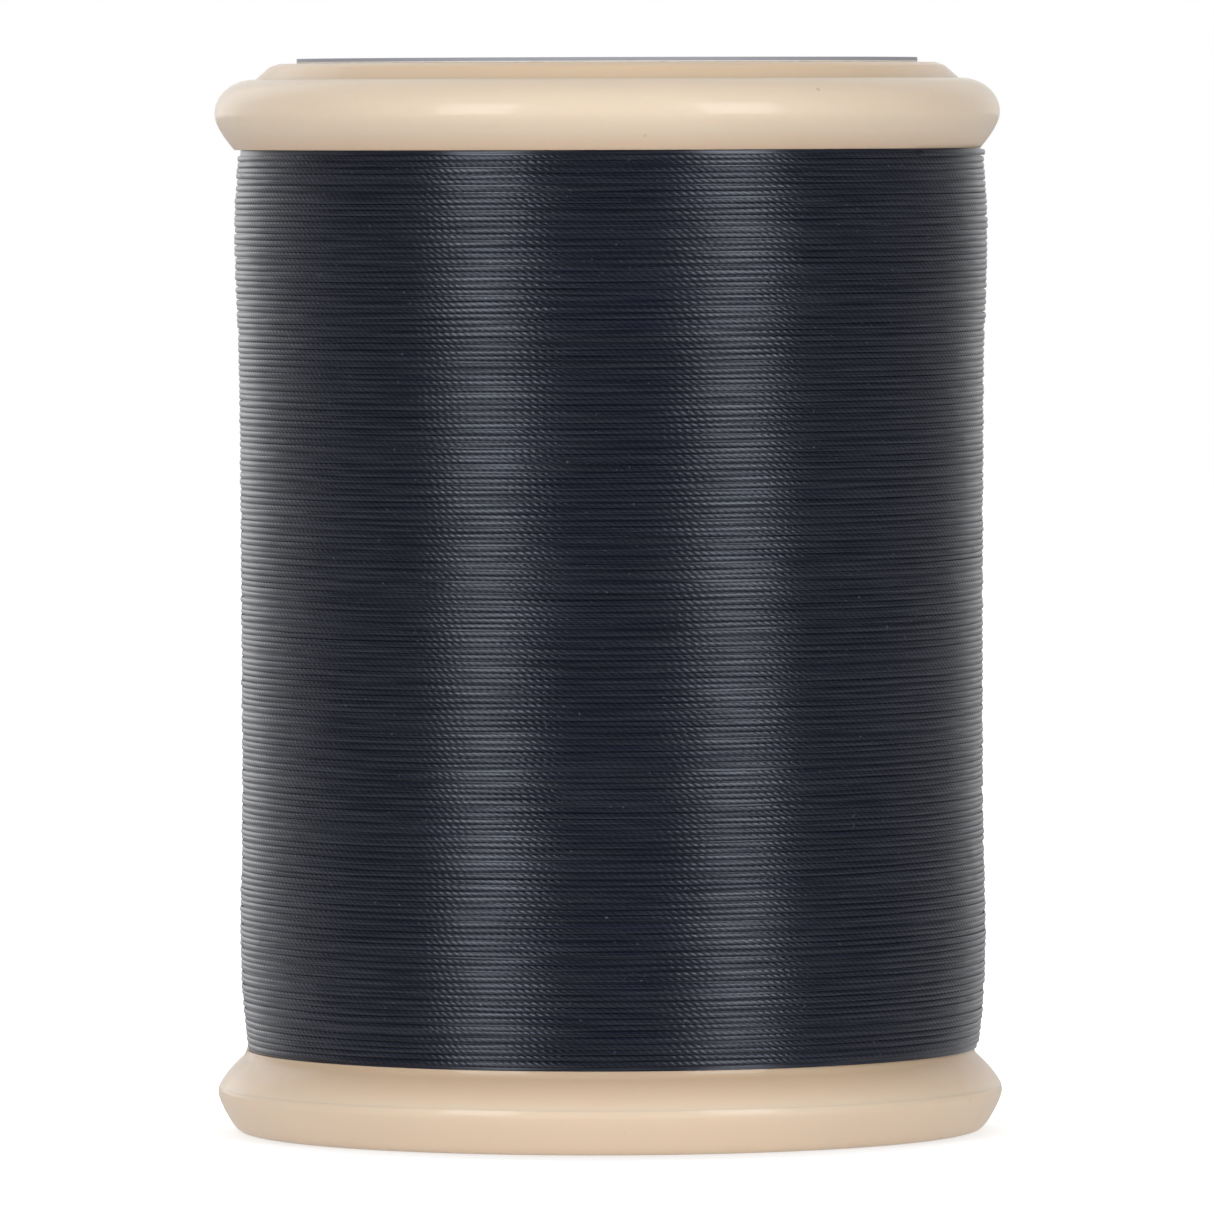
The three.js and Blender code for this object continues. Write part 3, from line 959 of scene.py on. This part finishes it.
def add_world():
    """A white backdrop for the camera, and a fill light: bright from behind, less from above, else dim."""
    world = bpy.data.worlds.new("studio")
    bpy.context.scene.world = world
    world.use_nodes = True
    tree = world.node_tree
    fill = tree.nodes["Background"]
    fill.inputs["Color"].default_value = (1, 1, 1, 1)
    towards = tree.nodes.new("ShaderNodeTexCoord")
    brightest = tree.nodes.new("ShaderNodeMath")
    brightest.operation = "MAXIMUM"
    behind = (-0.3, 1, 0)
    overhead = (0, 0, 1)
    dim = 0.3
    for socket, axis, start, end, most in ((0, behind, 0.3, 1.1, 1.2), (1, overhead, 0.3, 0.9, 0.5)):
        facing = tree.nodes.new("ShaderNodeVectorMath")
        facing.operation = "DOT_PRODUCT"
        facing.inputs[1].default_value = axis
        tree.links.new(towards.outputs["Generated"], facing.inputs[0])
        level = tree.nodes.new("ShaderNodeMapRange")
        level.interpolation_type = "SMOOTHSTEP"
        for name, value in (("From Min", start), ("From Max", end), ("To Min", dim), ("To Max", most)):
            level.inputs[name].default_value = value
        tree.links.new(facing.outputs["Value"], level.inputs["Value"])
        tree.links.new(level.outputs[0], brightest.inputs[socket])
    tree.links.new(brightest.outputs[0], fill.inputs["Strength"])
    backdrop = tree.nodes.new("ShaderNodeBackground")
    backdrop.inputs["Color"].default_value = (1, 1, 1, 1)
    ray = tree.nodes.new("ShaderNodeLightPath")
    choose = tree.nodes.new("ShaderNodeMixShader")
    tree.links.new(ray.outputs["Is Camera Ray"], choose.inputs[0])
    tree.links.new(fill.outputs[0], choose.inputs[1])
    tree.links.new(backdrop.outputs[0], choose.inputs[2])
    tree.links.new(choose.outputs[0], tree.nodes["World Output"].inputs[0])


def add_studio():
    """A softbox on each side of the camera and on each side at the back, where the left is brighter."""
    add_floor()
    add_world()
    for side, back_power in ((-1, 0.37), (1, 0.13)):
        add_softbox("softbox_front", side * 39, height=0.5, power=2.8)
        add_softbox("softbox_back", side * 150, height=0.62, power=back_power)
    bpy.context.scene.view_settings.view_transform = "Standard"


add_camera()
add_studio()

plastic = cream_plastic("cream_plastic")
# The flange, rim and cap get painted shade near the thread or the ledge.
shaded_flange_plastic = cream_plastic("shaded_flange_plastic", shade_colour=PAINTED_SHADE_FLANGE_TOP, pale_z=2.3, shade_z=3.9)
# The rim's and the cap's own colours are painted light and painted shade.
lit_and_shaded_rim_plastic = cream_plastic("lit_and_shaded_rim_plastic", PAINTED_LIGHT_RIM_COLOUR, PAINTED_SHADE_RIM_UNDERSIDE, pale_z=50.9, shade_z=50)
shaded_cap_plastic = cream_plastic("shaded_cap_plastic", PAINTED_SHADE_CAP_COLOUR, PAINTED_SHADE_CAP_FOOT, pale_z=54.1, shade_z=53.4)
thread = navy_thread()
top_print = printed_label()
label_stock = paper_stock("label_stock", ringed=False)
base_print = paper_stock("base_label_print", ringed=True)

for node, make, material, body in (
    ("core_barrel", core_barrel, plastic, "spool"),
    ("lower_flange", lower_flange, shaded_flange_plastic, "spool"),
    ("upper_flange", upper_flange, lit_and_shaded_rim_plastic, "spool"),
    ("top_cap", top_cap, shaded_cap_plastic, "spool"),
    ("pin_tube", pin_tube, plastic, "spool"),
    ("snap_base", snap_base, plastic, "base"),
):
    moulding = make()
    cover(moulding, material)
    stand_in(moulding, node, body)

stand_in(top_label(label_stock, top_print), "top_label", "spool")
stand_in(base_label(label_stock, base_print), "base_label", "base")

winding = Winding(seed=11)
wound = [winding.inner_layers()]
wound += [winding.band(number) for number in range(winding.BANDS)]
wound.append(stray_fibres(winding, 70, seed=5))
for piece in wound:
    cover(piece, thread)
    stand_in(piece, "thread_package", "spool")
tail = thread_tail()
cover(tail, thread)
stand_in(tail, "thread_end", "spool")
